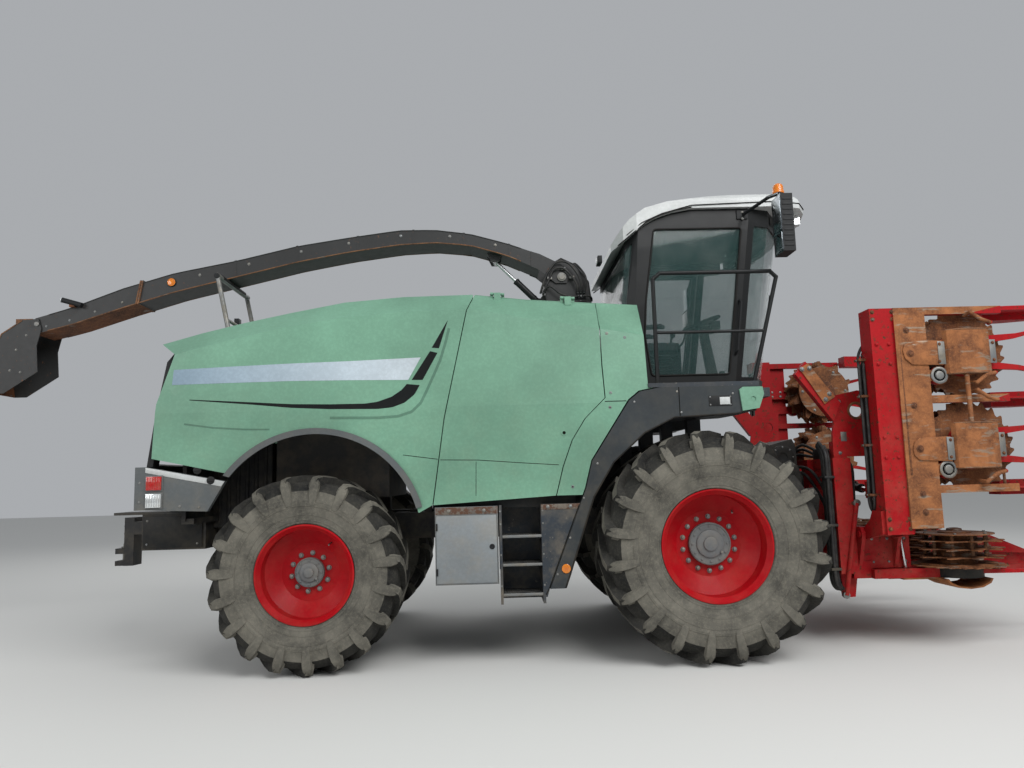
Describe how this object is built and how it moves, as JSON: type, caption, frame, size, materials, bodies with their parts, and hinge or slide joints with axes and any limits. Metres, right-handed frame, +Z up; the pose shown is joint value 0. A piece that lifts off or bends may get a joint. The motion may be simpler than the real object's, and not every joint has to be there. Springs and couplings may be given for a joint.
{
  "type": "forage harvester",
  "caption": "Self-propelled forage harvester with hollow cab, curved discharge spout resting on its cradle and a rotary maize header with its wings folded up.",
  "frame": {"origin": "on the ground, in the middle of the whole length and width", "axes": "+X forward, +Y to the machine's left, +Z up"},
  "size_m": [9.855, 3.3, 4.1675],
  "materials": {
    "frame_steel": "satin dark grey paint",
    "engine_iron": "painted casting",
    "hood_green": "sage green paint, slightly faded",
    "black_plastic": "black plastic",
    "bumper_grey": "light grey paint",
    "fender_grey": "dark grey plastic",
    "box_grey": "mid grey paint",
    "step_steel": "dark blue grey paint",
    "cab_black": "black paint",
    "roof_white": "light grey white shell",
    "cab_glass": "tinted glass",
    "seat_cloth": "dark cloth",
    "lamp_amber": "amber lens",
    "zinc_steel": "zinc plated",
    "rod_chrome": "bright chrome",
    "spout_charcoal": "charcoal paint",
    "header_red": "deep red paint, worn",
    "worn_steel": "bare worn steel with rust",
    "tyre": "dusty rubber",
    "rim_red": "red paint"
  },
  "bodies": {
    "chassis": {"main_frame": "frame_steel", "engine_block": "engine_iron", "front_axle": "frame_steel", "rear_axle_beam": "frame_steel", "rear_hood": "hood_green", "rear_grille": "black_plastic", "rear_bumper": "bumper_grey", "tow_hitch": "frame_steel", "front_side_panels": "hood_green", "front_fenders": "fender_grey", "side_boxes": "box_grey", "access_steps": "step_steel", "cab_platform": "step_steel", "cab_frame": "cab_black", "cab_roof": "roof_white", "cab_glass": "cab_glass", "operator_seat": "seat_cloth", "steering_console": "black_plastic", "handrails": "cab_black", "mirrors": "black_plastic", "lamps": "lamp_amber", "crop_tower": "frame_steel", "spout_cradle": "zinc_steel", "chopper_housing": "frame_steel"},
    "front_wheel_left": {"front_tyre_left": "tyre", "front_rim_left": "rim_red"},
    "front_wheel_right": {"front_tyre_right": "tyre", "front_rim_right": "rim_red"},
    "steering_left": {"steering_knuckle_left": "frame_steel"},
    "steering_right": {"steering_knuckle_right": "frame_steel"},
    "tie_rod": {"tie_rod": "frame_steel"},
    "rear_wheel_left": {"rear_tyre_left": "tyre", "rear_rim_left": "rim_red"},
    "rear_wheel_right": {"rear_tyre_right": "tyre", "rear_rim_right": "rim_red"},
    "side_door_left": {"side_door_left": "hood_green"},
    "side_door_right": {"side_door_right": "hood_green"},
    "cab_door": {"cab_door": "cab_black", "cab_door_glass": "cab_glass"},
    "turret": {"spout_turret": "spout_charcoal"},
    "spout": {"spout_chute": "spout_charcoal"},
    "spout_barrel": {"spout_lift_barrel": "cab_black"},
    "spout_rod": {"spout_lift_rod": "rod_chrome"},
    "flap": {"deflector_flap": "spout_charcoal"},
    "header": {"feeder_house": "frame_steel", "header_frame": "header_red"},
    "rotor_1_left": {"rotor_1_left": "worn_steel"},
    "rotor_2_left": {"rotor_2_left": "worn_steel"},
    "wing_left": {"wing_left": "header_red"},
    "wing_rotor_1_left": {"wing_rotor_1_left": "worn_steel"},
    "wing_rotor_2_left": {"wing_rotor_2_left": "worn_steel"},
    "fold_barrel_left": {"fold_barrel_left": "cab_black"},
    "fold_rod_left": {"fold_rod_left": "rod_chrome"},
    "rotor_1_right": {"rotor_1_right": "worn_steel"},
    "rotor_2_right": {"rotor_2_right": "worn_steel"},
    "wing_right": {"wing_right": "header_red"},
    "wing_rotor_1_right": {"wing_rotor_1_right": "worn_steel"},
    "wing_rotor_2_right": {"wing_rotor_2_right": "worn_steel"},
    "fold_barrel_right": {"fold_barrel_right": "cab_black"},
    "fold_rod_right": {"fold_rod_right": "rod_chrome"}
  },
  "joints": [
    {"name": "front_wheel_spin_left", "type": "hinge", "parent": "chassis", "child": "front_wheel_left", "pos_m": [1.6275, 1.25, 0.9], "axis": [0, 1, 0], "continuous": true},
    {"name": "front_wheel_spin_right", "type": "hinge", "parent": "chassis", "child": "front_wheel_right", "pos_m": [1.6275, -1.25, 0.9], "axis": [0, 1, 0], "continuous": true},
    {"name": "steer_left", "type": "hinge", "parent": "chassis", "child": "steering_left", "pos_m": [-1.5625, 0.84, 0.765], "axis": [0, 0, 1], "range_deg": [-30, 30]},
    {"name": "steer_right", "type": "hinge", "parent": "chassis", "child": "steering_right", "pos_m": [-1.5625, -0.84, 0.765], "axis": [0, 0, 1], "range_deg": [-30, 30]},
    {"name": "tie_rod_turn", "type": "hinge", "parent": "steering_left", "child": "tie_rod", "pos_m": [-1.7925, 0.84, 0.765], "axis": [0, 0, 1], "range_deg": [-30, 30]},
    {"name": "rear_wheel_spin_left", "type": "hinge", "parent": "steering_left", "child": "rear_wheel_left", "pos_m": [-1.5625, 1.25, 0.765], "axis": [0, 1, 0], "continuous": true},
    {"name": "rear_wheel_spin_right", "type": "hinge", "parent": "steering_right", "child": "rear_wheel_right", "pos_m": [-1.5625, -1.25, 0.765], "axis": [0, 1, 0], "continuous": true},
    {"name": "side_door_swing_left", "type": "hinge", "parent": "chassis", "child": "side_door_left", "pos_m": [0.2775, 1.154, 3.0052], "axis": [0.997, 0, -0.0774], "range_deg": [0, 70]},
    {"name": "side_door_swing_right", "type": "hinge", "parent": "chassis", "child": "side_door_right", "pos_m": [0.2775, -1.154, 3.0052], "axis": [-0.997, 0, 0.0774], "range_deg": [0, 70]},
    {"name": "cab_door_swing", "type": "hinge", "parent": "chassis", "child": "cab_door", "pos_m": [1.2555, 0.914, 2.95], "axis": [0, 0, 1], "range_deg": [0, 80]},
    {"name": "spout_slew", "type": "hinge", "parent": "chassis", "child": "turret", "pos_m": [0.6975, 0, 3.12], "axis": [0, 0, 1], "range_deg": [-90, 90]},
    {"name": "spout_lift", "type": "hinge", "parent": "turret", "child": "spout", "pos_m": [0.6275, 0, 3.43], "axis": [0, 1, 0], "range_deg": [0, 24]},
    {"name": "spout_barrel_swing", "type": "hinge", "parent": "turret", "child": "spout_barrel", "pos_m": [0.4025, 0, 3.215], "axis": [0, 1, 0], "range_deg": [-10, 40]},
    {"name": "spout_rod_slide", "type": "slide", "parent": "spout_barrel", "child": "spout_rod", "axis": [-0.6988, 0, 0.7153], "range_m": [-0.02, 0.35]},
    {"name": "flap_tilt", "type": "hinge", "parent": "spout", "child": "flap", "pos_m": [-4.4775, 0, 3.068], "axis": [0, 1, 0], "range_deg": [0, 50]},
    {"name": "header_lift", "type": "hinge", "parent": "chassis", "child": "header", "pos_m": [1.9575, 0, 1], "axis": [0, 1, 0], "range_deg": [0, 8]},
    {"name": "rotor_spin_1_left", "type": "hinge", "parent": "header", "child": "rotor_1_left", "pos_m": [3.7525, 0.375, 0.8], "axis": [0, 0, 1], "continuous": true},
    {"name": "rotor_spin_2_left", "type": "hinge", "parent": "header", "child": "rotor_2_left", "pos_m": [3.7525, 1.125, 0.8], "axis": [0, 0, 1], "continuous": true},
    {"name": "wing_fold_left", "type": "hinge", "parent": "header", "child": "wing_left", "pos_m": [3.1075, 1.175, 0.925], "axis": [-1, 0, 0], "range_deg": [0, 90]},
    {"name": "wing_rotor_spin_1_left", "type": "hinge", "parent": "wing_left", "child": "wing_rotor_1_left", "pos_m": [3.7525, 1.3, 1.625], "axis": [0, 1, 0], "continuous": true},
    {"name": "wing_rotor_spin_2_left", "type": "hinge", "parent": "wing_left", "child": "wing_rotor_2_left", "pos_m": [3.7525, 1.3, 2.375], "axis": [0, 1, 0], "continuous": true},
    {"name": "fold_barrel_swing_left", "type": "hinge", "parent": "header", "child": "fold_barrel_left", "pos_m": [3.1075, 0.35, 1.35], "axis": [-1, 0, 0], "range_deg": [-6, 30]},
    {"name": "fold_rod_slide_left", "type": "slide", "parent": "fold_barrel_left", "child": "fold_rod_left", "axis": [0, 0.9952, -0.0976], "range_m": [-0.02, 0.6]},
    {"name": "rotor_spin_1_right", "type": "hinge", "parent": "header", "child": "rotor_1_right", "pos_m": [3.7525, -0.375, 0.8], "axis": [0, 0, 1], "continuous": true},
    {"name": "rotor_spin_2_right", "type": "hinge", "parent": "header", "child": "rotor_2_right", "pos_m": [3.7525, -1.125, 0.8], "axis": [0, 0, 1], "continuous": true},
    {"name": "wing_fold_right", "type": "hinge", "parent": "header", "child": "wing_right", "pos_m": [3.1075, -1.175, 0.925], "axis": [1, 0, 0], "range_deg": [0, 90]},
    {"name": "wing_rotor_spin_1_right", "type": "hinge", "parent": "wing_right", "child": "wing_rotor_1_right", "pos_m": [3.7525, -1.3, 1.625], "axis": [0, 1, 0], "continuous": true},
    {"name": "wing_rotor_spin_2_right", "type": "hinge", "parent": "wing_right", "child": "wing_rotor_2_right", "pos_m": [3.7525, -1.3, 2.375], "axis": [0, 1, 0], "continuous": true},
    {"name": "fold_barrel_swing_right", "type": "hinge", "parent": "header", "child": "fold_barrel_right", "pos_m": [3.1075, -0.35, 1.35], "axis": [1, 0, 0], "range_deg": [-6, 30]},
    {"name": "fold_rod_slide_right", "type": "slide", "parent": "fold_barrel_right", "child": "fold_rod_right", "axis": [0, -0.9952, -0.0976], "range_m": [-0.02, 0.6]}
  ],
  "couplings": [
    {"joint": "steer_right", "follows": "steer_left", "ratio": 1},
    {"joint": "tie_rod_turn", "follows": "steer_left", "ratio": -1},
    {"joint": "spout_barrel_swing", "follows": "spout_lift", "ratio": 0.91721},
    {"joint": "spout_rod_slide", "follows": "spout_lift", "m_per_rad": 0.30394},
    {"joint": "fold_barrel_swing_left", "follows": "wing_fold_left", "ratio": 0.12953},
    {"joint": "fold_rod_slide_left", "follows": "wing_fold_left", "m_per_rad": 0.29394},
    {"joint": "fold_barrel_swing_right", "follows": "wing_fold_right", "ratio": 0.12953},
    {"joint": "fold_rod_slide_right", "follows": "wing_fold_right", "m_per_rad": 0.29394}
  ]
}
